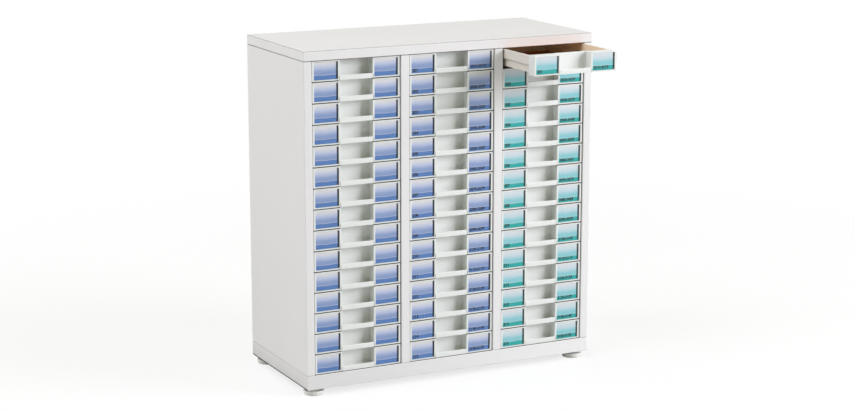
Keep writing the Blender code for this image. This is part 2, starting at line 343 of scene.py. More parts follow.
def rounded_profile(corners, bites, bends, closed=False):
    """A profile with its corners rounded, and the bend of each of its rows.

    The profile leaves its straight parts at P0 and P2, one bite before and after corner P1, and between
    them is (1 - t)^2 P0 + 2 t (1 - t) P1 + t^2 P2. The bend there is the corner's, times 4 t (1 - t).
    An open profile keeps its first and last row as they are.
    """
    corners = np.asarray(corners, float)
    if closed:
        before, corner, after = np.roll(corners, 1, axis=0), corners, np.roll(corners, -1, axis=0)
    else:
        before, corner, after = corners[:-2], corners[1:-1], corners[2:]
    bite = np.broadcast_to(np.asarray(bites, float), len(corner))[:, None]
    bend = np.broadcast_to(np.asarray(bends, float), len(corner))[:, None]
    start = corner + (before - corner) * bite / span(before - corner)
    end = corner + (after - corner) * bite / span(after - corner)
    t = np.linspace(0, 1, EDGE_STEPS + 1)[None, :, None]
    arcs = (1 - t) ** 2 * start[:, None] + 2 * t * (1 - t) * corner[:, None] + t**2 * end[:, None]
    rows = arcs.reshape(-1, corners.shape[1])
    row_bend = (bend * 4 * t[0, :, 0] * (1 - t[0, :, 0])).ravel()
    if closed:
        return rows, row_bend
    return np.concatenate([corners[:1], rows, corners[-1:]]), np.concatenate([[0], row_bend, [0]])


def ring_points(rows, corner_steps):
    """Rounded rectangles stacked in height, as rings by points by (u, v, height).

    A row holds the centre (u, v), half width a, half depth b, corner radius r and height. The point
    at a corner with signs s and angle t is centre + s (a - r, b - r) + r (cos t, sin t).
    """
    turn = np.linspace(0, np.pi / 2, corner_steps + 1)
    t = (np.arange(4)[:, None] * np.pi / 2 + turn).ravel()
    sign = np.repeat(CORNER_SIGNS, corner_steps + 1, axis=0)
    centre, half, radius = rows[:, None, 0:2], rows[:, None, 2:4], rows[:, None, 4:5]
    flat = centre + sign * (half - radius) + radius * np.stack([np.cos(t), np.sin(t)], axis=-1)
    height = np.broadcast_to(rows[:, None, 5:6], (*flat.shape[:2], 1))
    return np.concatenate([flat, height], axis=-1)


def ring_faces(rings, count):
    """Quads between neighbouring rings of points, and a cap on the first and on the last ring."""
    k, i = np.meshgrid(np.arange(rings - 1), np.arange(count), indexing="ij")
    j = (i + 1) % count
    quads = np.stack([k * count + i, k * count + j, (k + 1) * count + j, (k + 1) * count + i], axis=-1)
    caps = [np.arange(count)[::-1].tolist(), ((rings - 1) * count + np.arange(count)).tolist()]
    return quads.reshape(-1, 4).tolist() + caps


def ring_skin(corners, bites, bends, forward=False, corner_steps=CORNER_STEPS, inside_from=None):
    """A closed skin over a rounded profile of rings, which rise along +Z, or along -Y if forward.

    From corner row inside_from on, the faces take finish INSIDE instead of 0.
    """
    rows, row_bend = rounded_profile(corners, bites, bends)
    rings = ring_points(rows, corner_steps)
    count = rings.shape[1]
    faces = ring_faces(len(rows), count)
    points = rings.reshape(-1, 3)
    if forward:
        points = np.stack([points[:, 0], -points[:, 2], points[:, 1]], axis=-1)
    finish = np.zeros(len(faces), int)
    if inside_from is not None:
        first = (1 + (inside_from - 1) * (EDGE_STEPS + 1)) * count
        finish[first:] = INSIDE
        # The last face but one is the first ring's cap, on the outside
        finish[-2] = 0
    return Skin(points, faces, np.repeat(row_bend, count), finish)


def carried_skin(loop, loop_bend, stations):
    """A closed loop in Y and Z, anticlockwise from +X, carried along X through the stations."""
    count = len(loop)
    x = np.repeat(np.asarray(stations, float), count)
    points = np.column_stack([x, np.tile(loop, (len(stations), 1))])
    return Skin(points, ring_faces(len(stations), count), np.tile(loop_bend, len(stations)))


def slab_skin(low, high, radius, forward=False, steps=CORNER_STEPS):
    """A flat board or card between two corners, all its edges rounded.

    Its rings are a cap drawn in from the edge, the edge itself, the far edge and the far cap.
    """
    low, high = np.asarray(low, float), np.asarray(high, float)
    if forward:
        low, high = low[[0, 2, 1]], high[[0, 2, 1]]
        low[2], high[2] = -high[2], -low[2]
    centre, half = (low + high)[:2] / 2, (high - low)[:2] / 2
    drawn_in = half - CAP_RADII * radius
    corners = [
        (*centre, *drawn_in, radius, low[2]),
        (*centre, *half, radius, low[2]),
        (*centre, *half, radius, high[2]),
        (*centre, *drawn_in, radius, high[2]),
    ]
    return ring_skin(corners, radius, 1, forward, steps)


def gathered(items, name, width=1, kind=np.float32):
    """One property of all the items of a mesh, as rows of this width."""
    values = np.empty(width * len(items), kind)
    items.foreach_get(name, values)
    return values.reshape(-1, width)


def loop_points(mesh):
    """The number of the point at each corner of each face."""
    return gathered(mesh.loops, "vertex_index", kind=np.int32)[:, 0]


def even_normals(mesh):
    """Sets each point's normal to its faces' mean normal by area, so that wide flats stay flat."""
    weighted = gathered(mesh.polygons, "normal", 3) * gathered(mesh.polygons, "area")
    corners = gathered(mesh.polygons, "loop_total", kind=np.int32)[:, 0]
    mean = np.zeros((len(mesh.vertices), 3))
    np.add.at(mean, loop_points(mesh), np.repeat(weighted, corners, axis=0))
    mean /= np.linalg.norm(mean, axis=1, keepdims=True)
    mesh.normals_split_custom_set_from_vertices(mean)


def new_object(name, data):
    """An object in the scene's own collection."""
    made = bpy.data.objects.new(name, data)
    bpy.context.scene.collection.objects.link(made)
    return made


def add_piece(name, skin, place, finishes, body, replaced=()):
    """Makes one piece of a skin moved to its place, and rides it on a CAD body."""
    mesh = bpy.data.meshes.new(name)
    mesh.from_pydata((skin.points + np.asarray(place)).tolist(), [], skin.faces)
    for finish in finishes:
        mesh.materials.append(finish)
    mesh.polygons.foreach_set("material_index", skin.finish.astype(np.int32))
    mesh.shade_smooth()
    mesh.attributes.new("bend", "FLOAT", "POINT").data.foreach_set("value", skin.bend)
    if skin.print_uv.any():
        layer = mesh.uv_layers.new(name="print")
        layer.data.foreach_set("uv", skin.print_uv[loop_points(mesh)].ravel())
    mesh.update()
    even_normals(mesh)
    if mesh.validate():
        raise RuntimeError(f"{name} has faulty faces")
    piece = new_object(name, mesh)
    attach(piece, body)
    if replaced:
        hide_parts(*replaced)


# Shader expressions


class Flow:
    """A node's output that takes Python's operators. Each operator adds one Math node."""

    def __init__(self, web, socket):
        self.web, self.socket = web, socket

    def __add__(self, other):
        return self.web.math("ADD", self, other)

    def __sub__(self, other):
        return self.web.math("SUBTRACT", self, other)

    def __rsub__(self, other):
        return self.web.math("SUBTRACT", other, self)

    def __mul__(self, other):
        return self.web.math("MULTIPLY", self, other)

    __radd__, __rmul__ = __add__, __mul__


class Web:
    """A node tree that is written as expressions."""

    def __init__(self, tree):
        self.tree = tree
        tree.nodes.clear()

    def node(self, kind, settings=(), inputs=(), output=0):
        """Adds any node: first its settings, then the values or links of its sockets."""
        made = self.tree.nodes.new(kind)
        for name, value in dict(settings).items():
            if name == "stops":
                set_stops(made.color_ramp.elements, value)
            else:
                setattr(made, name, value)
        for name, value in dict(inputs).items():
            if isinstance(value, Flow):
                self.tree.links.new(value.socket, made.inputs[name])
            else:
                made.inputs[name].default_value = value
        return Flow(self, made.outputs[output]) if made.outputs else None

    def math(self, operation, first, second=0.0, clamp=False):
        """One Math node."""
        settings = {"operation": operation, "use_clamp": clamp}
        return self.node("ShaderNodeMath", settings, {0: first, 1: second})

    def place(self):
        """Object coordinates, which are the part's own metres."""
        return self.node("ShaderNodeTexCoord", output="Object")

    def part(self, vector, axis):
        """One part of a vector: X, Y or Z."""
        return self.node("ShaderNodeSeparateXYZ", inputs={"Vector": vector}, output=axis)

    def noise(self, scale, detail=2.0, roughness=0.5, stretch=(1, 1, 1)):
        """Noise with this many cells to the metre, from 0 to 1."""
        cells = {"Vector": self.place(), "Scale": tuple(scale * s for s in stretch)}
        spread = self.node("ShaderNodeMapping", inputs=cells)
        values = {"Vector": spread, "Scale": 1.0, "Detail": detail, "Roughness": roughness}
        return self.node("ShaderNodeTexNoise", {"noise_dimensions": "3D"}, values, "Fac")

    def bend(self, side=1):
        """How near an outer edge (side 1) or an inner corner (side -1) is, from 0 to 1."""
        raw = self.node("ShaderNodeAttribute", {"attribute_name": "bend"}, output="Fac")
        return self.math("MAXIMUM", side * raw)

    def mix(self, share, first, second):
        """The first colour, going over to the second by a share from 0 to 1."""
        settings = {"data_type": "RGBA", "blend_type": "MIX", "clamp_factor": True}
        inputs = {0: share, 6: opaque(first), 7: opaque(second)}
        return self.node("ShaderNodeMix", settings, inputs, 2)

    def smooth_step(self, value, start, end, low=0.0):
        """Goes from low to 1 as low + (1 - low) (3 t^2 - 2 t^3), with t from 0 at start to 1 at end."""
        limits = {"Value": value, "From Min": start, "From Max": end, "To Min": low, "To Max": 1.0}
        return self.node("ShaderNodeMapRange", {"interpolation_type": "SMOOTHSTEP"}, limits)

    def bump(self, height, distance):
        """A normal that follows a height, whose 1 stands for a distance in metres."""
        values = {"Height": height, "Distance": distance, "Strength": 1.0}
        return self.node("ShaderNodeBump", inputs=values, output="Normal")

    def surface(self, **sockets):
        """The Principled shader and the output. A socket's name has _ for each space."""
        values = {name.replace("_", " "): value for name, value in sockets.items()}
        shader = self.node("ShaderNodeBsdfPrincipled", inputs=values)
        self.node("ShaderNodeOutputMaterial", inputs={"Surface": shader})


def opaque(colour):
    """A plain colour with its alpha, or a Flow as it is."""
    return colour if isinstance(colour, Flow) else (*colour[:3], 1.0)


def dimmed(colour, share):
    """A plain colour, times a share."""
    return tuple(channel * share for channel in colour)


def blended(first, second, share):
    """A plain colour that goes over to a second one by a share."""
    return tuple((1 - share) * a + share * b for a, b in zip(first, second))


def set_stops(elements, stops):
    """Gives a colour ramp its stops, each a position and a colour."""
    while len(elements) < len(stops):
        elements.new(1.0)
    for element, (position, colour) in zip(elements, stops):
        element.position = position
        element.color = opaque(colour)


def finish_maker(fill):
    """Turns a function that fills a web of nodes into one that returns a new material of a given name."""

    def made(name, *values):
        material = bpy.data.materials.new(name)
        material.use_nodes = True
        fill(Web(material.node_tree), *values)
        return material

    return made


# Finishes


@finish_maker
def board_finish(web, colour, edge_seam_shade_colour, base_shadow=None):
    """Coated board: pearl grain, faint clouds, and a greyer, rougher strip along the rounded edges:
    partly the edge band's seam, partly painted shade.

    Base shadow is a colour and the height of a lower edge. Along it the board's ends carry a dark painted
    shadow line for the shade under the base, and the ends are a little greyer all over.
    """
    grain, cloud, scuff = web.noise(900, 3), web.noise(2.5, 3), web.noise(70, 4, 0.6)
    # Partly the edge band's seam, partly painted shade along the rounded edges
    edge_seam_shade = web.bend() * (0.55 + 0.40 * scuff)
    face = web.mix(cloud, dimmed(colour, 0.955), colour)
    if base_shadow:
        shadow_tone, lower_edge = base_shadow
        height = web.part(web.place(), "Z")
        sideways = web.part(web.node("ShaderNodeTexCoord", output="Normal"), "X")
        # Painted shadow: a dark line along the lower edge of the ends, for the shade under the base
        near = web.math("LESS_THAN", height + BASE_SHADOW_WAVER * scuff, lower_edge + BASE_SHADOW_HEIGHT)
        at_ends = web.math("GREATER_THAN", web.math("ABSOLUTE", sideways), 0.4)
        face = web.mix(at_ends * 0.5, face, dimmed(colour, 0.8))
        face = web.mix(near * at_ends * 0.92, face, shadow_tone)
    web.surface(
        Base_Color=web.mix(edge_seam_shade, face, edge_seam_shade_colour),
        Roughness=0.74 + 0.06 * cloud + 0.06 * grain + 0.06 * edge_seam_shade,
        Normal=web.bump(grain + 0.5 * scuff, 0.00006),
        Specular_IOR_Level=0.04,
    )


@finish_maker
def moulded_finish(web, colour, roughness, corner_shade_share):
    """Moulded plastic: fine spark texture, slow changes of tone, paler rubbed edges and painted shade in
    inner corners.

    The painted corner shade dims the colour towards its share.
    """
    spark, cloud, shade_blotch = web.noise(1400, 2), web.noise(9, 3), web.noise(160, 4, 0.65)
    edge, corner = web.bend(), web.bend(-1)
    face = web.mix(cloud, dimmed(colour, 0.95), colour)
    # Painted shade: inner corners darkened, with blotches
    corner_shaded = web.mix(corner * (0.15 + 0.35 * shade_blotch), face, dimmed(colour, corner_shade_share))
    web.surface(
        Base_Color=web.mix(0.25 * edge, corner_shaded, dimmed(colour, 1.04)),
        Roughness=roughness + 0.10 * cloud + 0.06 * spark - 0.05 * edge,
        Normal=web.bump(spark, 0.00003),
        IOR=1.5,
    )


@finish_maker
def hardboard_finish(web, colour):
    """Pressed fibre board: long dark and pale fibres, specks and a smooth pressed face."""
    fibre = web.noise(420, 4, 0.7, (1, 0.18, 1))
    cloud, speck = web.noise(14, 3), web.noise(1300, 2, 0.8)
    base = web.mix(cloud, dimmed(colour, 0.72), colour)
    fibred = web.mix(fibre * 0.8, base, dimmed(colour, 1.75))
    specks = web.math("GREATER_THAN", speck, 0.66) * 0.5
    web.surface(
        Base_Color=web.mix(specks, fibred, dimmed(colour, 0.35)),
        Roughness=0.52 + 0.2 * fibre,
        Normal=web.bump(fibre, 0.0001),
    )


@finish_maker
def card_finish(web, top, middle, low, band, painted_shadow):
    """Printed card: a colour fade down to a thin pale line and a darker foot band, on smooth paper.

    The line swells a little across the card, by a sine of the print coordinate. The right end has a
    painted shadow, a dark band for the shadow of the pocket's right wall, as wide as its share of the
    card.
    """
    spot = web.node("ShaderNodeUVMap", {"uv_map": "print"}, output="UV")
    across, up = web.part(spot, "X"), web.part(spot, "Y")
    swell = web.math("SINE", 9.0 * across + 0.6)
    pale = blended(low, top, 0.30)
    stops = [
        (0.0, band),
        (0.245, blended(band, low, 0.12)),
        (0.255, pale),
        (0.285, pale),
        (0.300, low),
        (0.48, blended(low, middle, 0.15)),
        (0.68, middle),
        (0.93, top),
    ]
    paper, screen = web.noise(700, 3, 0.6), web.noise(5, 2)
    fade = web.node("ShaderNodeValToRGB", {"stops": stops}, {"Fac": up - 0.010 * swell}, "Color")
    toned = web.mix(0.08 * screen, fade, low)
    # Painted shadow of the pocket's right wall: a dark band at the card's right end
    closed = web.smooth_step(across, 1.0 - 1.8 * painted_shadow, 1.0 - 0.8 * painted_shadow)
    shadowed_print = web.mix(closed, toned, dimmed(band, 0.06))
    web.surface(
        Base_Color=web.mix(0.015 * paper, shadowed_print, WHITE),
        Roughness=0.30 + 0.12 * paper,
        Normal=web.bump(paper, 0.00002),
        Specular_IOR_Level=0.15,
    )


@finish_maker
def ink_finish(web, colour):
    """Printing ink, with a little paper showing through."""
    thin = web.noise(2600, 2, 0.7)
    web.surface(
        Base_Color=web.mix(thin * 0.3, dimmed(colour, 0.8), dimmed(colour, 2.0)),
        Roughness=0.35 + 0.15 * thin,
    )


@finish_maker
def cover_finish(web):
    """Clear stiff sheet."""
    web.surface(Base_Color=(0.14, 0.15, 0.17, 1.0), Roughness=0.06, Alpha=0.06, IOR=1.47)


@finish_maker
def zinc_finish(web):
    """Bright zinc plate with a faint crystal pattern."""
    crystal = web.noise(600, 3, 0.7)
    web.surface(
        Base_Color=web.mix(crystal, linear(150, 152, 156), linear(196, 198, 202)),
        Metallic=1.0,
        Roughness=0.28 + 0.2 * crystal,
    )


# Carcass pieces


class CABINET_OT_add_boards(bpy.types.Operator):
    """Top, sides and dividers with rounded edges, and the base with its bores"""

    bl_idname = "cabinet.add_boards"
    bl_label = "Add Boards"

    def execute(self, context):
        props = context.scene.cabinet_boards
        coat = board_finish("white_board_coat", props.colour, props.edge_seam_shade_colour)
        for name in BOARDS:
            skin = slab_skin(*node_box(name), props.edge_radius)
            add_piece(f"{name}_dressed", skin, ORIGIN, [coat], "cabinet", [name])
        base_shadow = (props.base_shadow_colour, node_box("base_board")[0][2])
        shadowed_coat = board_finish("base_board_coat", props.colour, props.edge_seam_shade_colour, base_shadow)
        base = softened_copy("base_board", "base_board_dressed", props.edge_radius, shadowed_coat)
        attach(base, "cabinet")
        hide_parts("base_board")
        return {"FINISHED"}


def softened_copy(node, name, radius, finish):
    """A CAD node's shape with its points merged, its flats made whole and its edges bevelled."""
    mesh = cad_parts[node].data.copy()
    mesh.name = name
    shape = bmesh.new()
    shape.from_mesh(mesh)
    bmesh.ops.remove_doubles(shape, verts=shape.verts, dist=LOOSE_CORNER)
    bmesh.ops.dissolve_limit(shape, angle_limit=FLAT_ANGLE, verts=shape.verts, edges=shape.edges)
    shape.to_mesh(mesh)
    shape.free()
    mesh.materials.clear()
    mesh.materials.append(finish)
    mesh.shade_smooth()
    piece = new_object(name, mesh)
    bevel = piece.modifiers.new("soft_edges", "BEVEL")
    bevel.width, bevel.segments, bevel.limit_method = radius, EDGE_STEPS, "ANGLE"
    bevel.angle_limit, bevel.harden_normals = SHARP_ANGLE, True
    return piece


class CABINET_OT_add_back(bpy.types.Operator):
    """Back panel between the sides"""

    bl_idname = "cabinet.add_back"
    bl_label = "Add Back Panel"

    def execute(self, context):
        props = context.scene.cabinet_boards
        coat = board_finish("back_panel_coat", props.back_colour, props.edge_seam_shade_colour)
        name = "back_panel"
        skin = slab_skin(*node_box(name), props.edge_radius)
        add_piece(f"{name}_dressed", skin, ORIGIN, [coat], "cabinet", [name])
        return {"FINISHED"}


class CABINET_OT_finish_runners(bpy.types.Operator):
    """Moulded finish for the runner cages, which keep their CAD shape"""

    bl_idname = "cabinet.finish_runners"
    bl_label = "Finish Runner Cages"

    def execute(self, context):
        colour = context.scene.cabinet_boards.runner_colour
        plastic = moulded_finish("runner_plastic_moulded", colour, 0.42, 0.5)
        for column in COLUMNS:
            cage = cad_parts[f"{column}_runner_cage"]
            cage.data.materials.clear()
            cage.data.materials.append(plastic)
        return {"FINISHED"}


class CABINET_OT_add_strips(bpy.types.Operator):
    """Dark strips between the rows and round each column, reaching in from the boards: painted gap shade
    """

    bl_idname = "cabinet.add_strips"
    bl_label = "Add Row Strips"

    def execute(self, context):
        props, drawers = context.scene.cabinet_boards, context.scene.cabinet_drawers
        # Painted shade: a dark finish for the strips that stand in for the shadow in the gaps
        dark = moulded_finish("row_strip_moulded", props.shade_strip_colour, 0.5, 0.6)
        walls = ("left_side", "left_divider", "centre_divider", "right_side")
        for column, left, right in zip(COLUMNS, walls, walls[1:]):
            names = [name for name in DRAWERS if name.startswith(f"drawer_{column}_")]
            boxes = np.array([node_box(name) for name in names])
            ends = (node_box(left)[1][0], node_box(right)[0][0])
            skin = strip_skin(props, drawers, boxes, ends)
            add_piece(f"{column}_row_strips", skin, ORIGIN, [dark], "cabinet")
        return {"FINISHED"}


def strip_skin(props, drawers, boxes, ends):
    """Thin slabs in the gaps between the drawers of a column, left and right of the grips.

    One more lies below the lowest drawer, one above the highest, and two stand at the boards beside.
    All are painted shade: dark sheets where the gaps hold only shadow.
    """
    boxes = boxes[np.argsort(boxes[:, 0, 2])]
    middle, face = boxes[:, :, 0].mean(), boxes[:, 0, 1].max()
    front, half, wide = face + props.strip_setback, props.strip_thickness / 2, props.edge_strip
    ledge, roof = node_box("base_board")[1][2], node_box("top_board")[0][2]

    def bar(x, z, near):
        low, high = (x[0], near, z[0]), (x[1], front + props.strip_depth, z[1])
        return slab_skin(low, high, wide / 5, steps=1)

    grip = grip_half(drawers) + GRIP_OVERLAP
    gaps = (boxes[:-1, 1, 2] + boxes[1:, 0, 2]) / 2
    bars = [
        bar(x, (z - half, z + half), front)
        for z in gaps
        for x in ((ends[0], middle - grip), (middle + grip, ends[1]))
    ]
    bars += [bar((x, x + wide), (ledge, roof), front) for x in (ends[0], ends[1] - wide)]
    bars += [bar(ends, (z, z + wide), face - props.ledge_reach) for z in (ledge, roof - wide)]
    return sum(bars[1:], bars[0])


# Drawer pieces


def drawer_size():
    """Half width, length and height of a drawer, from its CAD node."""
    low, high = node_box(DRAWERS[0])
    return (high[0] - low[0]) / 2, high[1] - low[1], high[2] - low[2]


def drawer_places():
    """The name of each drawer and the middle of its lower front edge."""
    for name in DRAWERS:
        low, high = node_box(name)
        yield name, np.array([(low[0] + high[0]) / 2, low[1], low[2]])


def grip_half(props):
    """Half the width of the finger grip, between the posts beside the label pockets."""
    half, _, _ = drawer_size()
    return half - props.label_border - props.label_width - props.grip_post


def pocket_box(props, side):
    """The lowest and highest corner of a label pocket, on the left (-1) or right (1) of a drawer."""
    half, _, height = drawer_size()
    far = half - props.label_border
    x = sorted((side * (far - props.label_width), side * far))
    low = np.array([x[0], 0.0, props.label_sill])
    return low, np.array([x[1], props.label_depth, height - props.label_sill])


def label_block(props, side):
    """One side of a drawer front: a block with rounded edges and a label pocket in its face.

    Its rings are the back cap, the back and the front edge, the pocket's rim and floor, and its cap.
    """
    half, _, height = drawer_size()
    radius, draft = props.edge_radius, DRAFT * props.edge_radius
    low, high = pocket_box(props, side)
    x = sorted((side * grip_half(props), side * half))
    centre = np.array([sum(x) / 2, height / 2])
    reach = np.array([(x[1] - x[0]) / 2, height / 2 - props.block_trim])
    spot, room = (low + high)[[0, 2]] / 2, (high - low)[[0, 2]] / 2
    corners = [
        (*centre, *(reach - CAP_RADII * radius), radius, -props.front_depth),
        (*centre, *reach, radius, -props.front_depth),
        (*centre, *reach, radius, 0.0),
        (*spot, *room, radius, 0.0),
        (*spot, *(room - draft), radius, -props.label_depth),
        (*spot, *(room - CAP_RADII * radius), radius, -props.label_depth),
    ]
    return ring_skin(corners, radius * np.array([1, 1, 0.7, 0.7]), [1, 1, 1, -1], forward=True)


def grip_skin(props):
    """The finger grip: lip, trough and back wall as one loop in Y and Z, carried between the posts."""
    _, _, height = drawer_size()
    radius = props.edge_radius
    back = props.front_depth - props.grip_wall
    loop = [
        (props.front_depth, 0.0),
        (props.front_depth, height),
        (back, height),
        (back, props.grip_floor),
        (props.lip_thickness, props.grip_floor),
        (props.lip_thickness, props.lip_height),
        (0.0, props.lip_height),
        (0.0, 0.0),
    ]
    bites = radius * np.array([1, 1, 1, 3, 3, 1.5, 1.5, 1])
    rows, bend = rounded_profile(loop, bites, [1, 1, 1, -1, -1, 1, 1, 1], closed=True)
    end = grip_half(props)
    near, far = end + 0.2 * GRIP_OVERLAP, end + 0.8 * GRIP_OVERLAP
    return carried_skin(rows, bend, [-far, -near, near, far])


def tray_skin(props):
    """The tray: up the outside with its shoulder, over the rim, and down the inside to the floor."""
    half, length_y, height = drawer_size()
    upper, lower = half - props.upper_inset, half - props.lower_inset
    wall, rim_z, floor_z = props.wall, height - props.drop, props.lift + props.wall
    ledge_z, thin = props.shoulder + wall, props.rim_step
    root, rim_low = props.front_depth, rim_z - props.rim_height

    def ring(half_x, y_low, y_high, z):
        return (0.0, (y_low + y_high) / 2, half_x, (y_high - y_low) / 2, TRAY_CORNER, z)

    corners = [
        ring(lower - TRAY_CAP, root + TRAY_CAP, length_y - TRAY_CAP, props.lift),
        ring(lower, root - LOWER_ROOT, length_y - TRAY_STEP, props.lift),
        ring(lower, root - LOWER_ROOT, length_y - TRAY_STEP, props.shoulder),
        ring(upper - thin, root - UPPER_ROOT, length_y - thin, props.shoulder),
        ring(upper - thin, root - UPPER_ROOT, length_y - thin, rim_low),
        ring(upper, root - UPPER_ROOT, length_y, rim_low + 0.3 * thin),
        ring(upper, root - UPPER_ROOT, length_y, rim_z),
        ring(upper - wall, root + UPPER_ROOM, length_y - wall, rim_z),
        ring(upper - wall, root + UPPER_ROOM, length_y - wall, ledge_z),
        ring(lower - wall, root + LOWER_ROOM, length_y - wall - TRAY_STEP, ledge_z),
        ring(lower - wall, root + LOWER_ROOM, length_y - wall - TRAY_STEP, floor_z),
        ring(lower - wall - TRAY_CAP, root + TRAY_CAP, length_y - wall - TRAY_CAP, floor_z),
    ]
    # The bites are given in millimetres
    bites = np.array([1.5, 1.0, 1.0, 0.25, 0.25, 1.2, 1.2, 1.0, 1.0, 1.5]) / 1000
    skin = ring_skin(corners, bites, [1, -1, 1, -1, 1, 1, 1, -1, 1, -1], inside_from=7)
    skin.finish = np.where(skin.finish == INSIDE, INSIDE, TRAY)
    return skin


class CABINET_OT_add_drawers(bpy.types.Operator):
    """Drawer shells: two label blocks, the finger grip between them and the tray behind"""

    bl_idname = "cabinet.add_drawers"
    bl_label = "Add Drawers"

    def execute(self, context):
        props = context.scene.cabinet_drawers
        finishes = [
            moulded_finish("drawer_plastic_front", props.colour, 0.30, 0.7),
            moulded_finish("drawer_plastic_inside", props.inside_colour, 0.40, 0.5),
            # The tray finish carries painted warm bounce light on the trays' outside
            moulded_finish("drawer_plastic_tray", props.tray_warm_bounce_colour, 0.36, 0.7),
        ]
        shell = label_block(props, -1) + label_block(props, 1) + grip_skin(props) + tray_skin(props)
        for name, place in drawer_places():
            add_piece(f"{name}_shell", shell, place, finishes, name, [name])
        return {"FINISHED"}


class CABINET_OT_add_bottoms(bpy.types.Operator):
    """Hardboard sheet on the floor of each drawer"""

    bl_idname = "cabinet.add_bottoms"
    bl_label = "Add Drawer Bottoms"

    def execute(self, context):
        props = context.scene.cabinet_drawers
        half, length_y, _ = drawer_size()
        room = half - props.lower_inset - props.wall - SHEET_GAP
        floor_z = props.lift + props.wall + SHEET_SEAT
        low = (-room, props.front_depth + SHEET_GAP, floor_z)
        high = (room, length_y - props.wall - SHEET_BACK_GAP, floor_z + props.bottom_sheet)
        sheet = slab_skin(low, high, props.bottom_sheet / 5)
        board = hardboard_finish("drawer_bottom_hardboard", props.bottom_colour)
        for name, place in drawer_places():
            add_piece(f"{name}_bottom", sheet, place, [board], name)
        return {"FINISHED"}


# Labels


def number_skin(text, height, corner, front):
    """Printed figures as flat faces, with their lower left corner at (x, z) and facing -Y at front."""
    curve = bpy.data.curves.new("number", "FONT")
    curve.body, curve.resolution_u, curve.offset = text, NUMBER_STEPS, NUMBER_WEIGHT
    holder = bpy.data.objects.new("number", curve)
    flat = bpy.data.meshes.new_from_object(holder)
    x, z = gathered(flat.vertices, "co", 3).T[:2]
    scale = height / np.ptp(z)
    across, up = corner[0] + (x - x.min()) * scale, corner[1] + (z - z.min()) * scale
    placed = np.stack([across, np.full(len(x), front), up], axis=-1)
    faces = [list(face.vertices) for face in flat.polygons]
    bpy.data.objects.remove(holder)
    bpy.data.curves.remove(curve)
    bpy.data.meshes.remove(flat)
    return Skin(placed, faces, finish=INK)


def card_skin(drawers, labels, side):
    """A label card with print coordinates from 0 to 1 across and up, and its lowest corner."""
    low, high = pocket_box(drawers, side)
    gap = labels.card_gap + DRAFT * drawers.edge_radius
    low += (gap, drawers.label_depth - labels.card_thickness - CARD_SEAT, gap)
    high -= (gap, CARD_SEAT, gap)
    card = slab_skin(low, high, labels.cover_thickness / 4, forward=True)
    spread = (card.points[:, [0, 2]] - low[[0, 2]]) / (high - low)[[0, 2]]
    card.print_uv = np.clip(spread, 0.0, 1.0)
    return card, low


class CABINET_OT_add_labels(bpy.types.Operator):
    """Two printed label cards in each drawer front, with plain numbers in two of the columns"""

    bl_idname = "cabinet.add_labels"
    bl_label = "Add Labels"

    def execute(self, context):
        drawers, labels = context.scene.cabinet_drawers, context.scene.cabinet_labels
        painted_shadow = labels.painted_shadow / drawers.label_width
        cards = {}
        for tone in ("blue", "teal"):
            colours = [getattr(labels, f"{tone}_{part}") for part in PRINT_PARTS]
            cards[tone] = card_finish(f"label_card_{tone}", *colours, painted_shadow)
        ink = ink_finish("label_ink", labels.ink)
        (left, left_low), (right, right_low) = (card_skin(drawers, labels, side) for side in (-1, 1))
        front = left_low[1] - INK_LIFT
        for name, place in drawer_places():
            _, column, row = name.split("_")
            skin = left + right
            if column != "left":
                first = 100 * (COLUMNS.index(column) + 1) + int(row)
                for words, low in ((f"{first}", left_low), (f"{first}0-{first}9", right_low)):
                    corner = low[[0, 2]] + NUMBER_MARGIN
                    skin = skin + number_skin(words, labels.number_height, corner, front)
            card = cards["teal" if column == "right" else "blue"]
            add_piece(f"{name}_labels", skin, place, [card, ink], name)
        return {"FINISHED"}


def cover_skin(drawers, labels, side):
    """A clear cover before a label card."""
    low, high = pocket_box(drawers, side)
    gap, thickness = labels.card_gap, labels.cover_thickness
    low += (gap, labels.cover_setback, gap)
    high[1] = low[1] + thickness
    high -= (gap, 0, gap)
    return slab_skin(low, high, thickness / 4, forward=True)


class CABINET_OT_add_covers(bpy.types.Operator):
    """Clear covers over the label cards"""

    bl_idname = "cabinet.add_covers"
    bl_label = "Add Label Covers"

    def execute(self, context):
        drawers, labels = context.scene.cabinet_drawers, context.scene.cabinet_labels
        clear = cover_finish("label_cover_clear")
        both = cover_skin(drawers, labels, -1) + cover_skin(drawers, labels, 1)
        for name, place in drawer_places():
            add_piece(f"{name}_covers", both, place, [clear], name)
        return {"FINISHED"}


# Feet


def foot_skin(props, radius, pad_height, stem_height):
    """A turned disc with a neck, and a stem with a thread.

    The thread's radius is r - d (0.5 + 0.5 cos(2 pi z / pitch - angle)).
    """
    edge = props.rounding

    def ring(size, z):
        return (0.0, 0.0, size, size, size, z)

    disc, neck = props.disc_height, props.neck_radius
    corners = [
        ring(radius * DISC_CAP, 0.0),
        ring(radius - edge / 3, 0.0),
        ring(radius, disc * FLARE),
        ring(radius, disc),
        ring(neck, disc + edge / 3),
        ring(neck, pad_height),
        ring(neck * NECK_CAP, pad_height),
    ]
    bites = np.array([1, 1, 1, 0.8, 0.4]) * edge / 2
    pad = ring_skin(corners, bites, [1, 0, 1, -1, 1], corner_steps=ROUND_STEPS)
    count = 4 * (ROUND_STEPS + 1)
    z = np.arange(pad_height - STEM_ROOT, stem_height, props.thread_pitch / THREAD_STEPS)
    t = np.linspace(0, 2 * np.pi, count, endpoint=False)
    wave = 0.5 + 0.5 * np.cos(2 * np.pi * z[:, None] / props.thread_pitch - t)
    r = props.stem_radius - props.thread_depth * wave
    height = np.broadcast_to(z[:, None], r.shape)
    points = np.stack([r * np.cos(t), r * np.sin(t), height], axis=-1).reshape(-1, 3)
    return pad + Skin(points, ring_faces(len(z), count), finish=STEM)


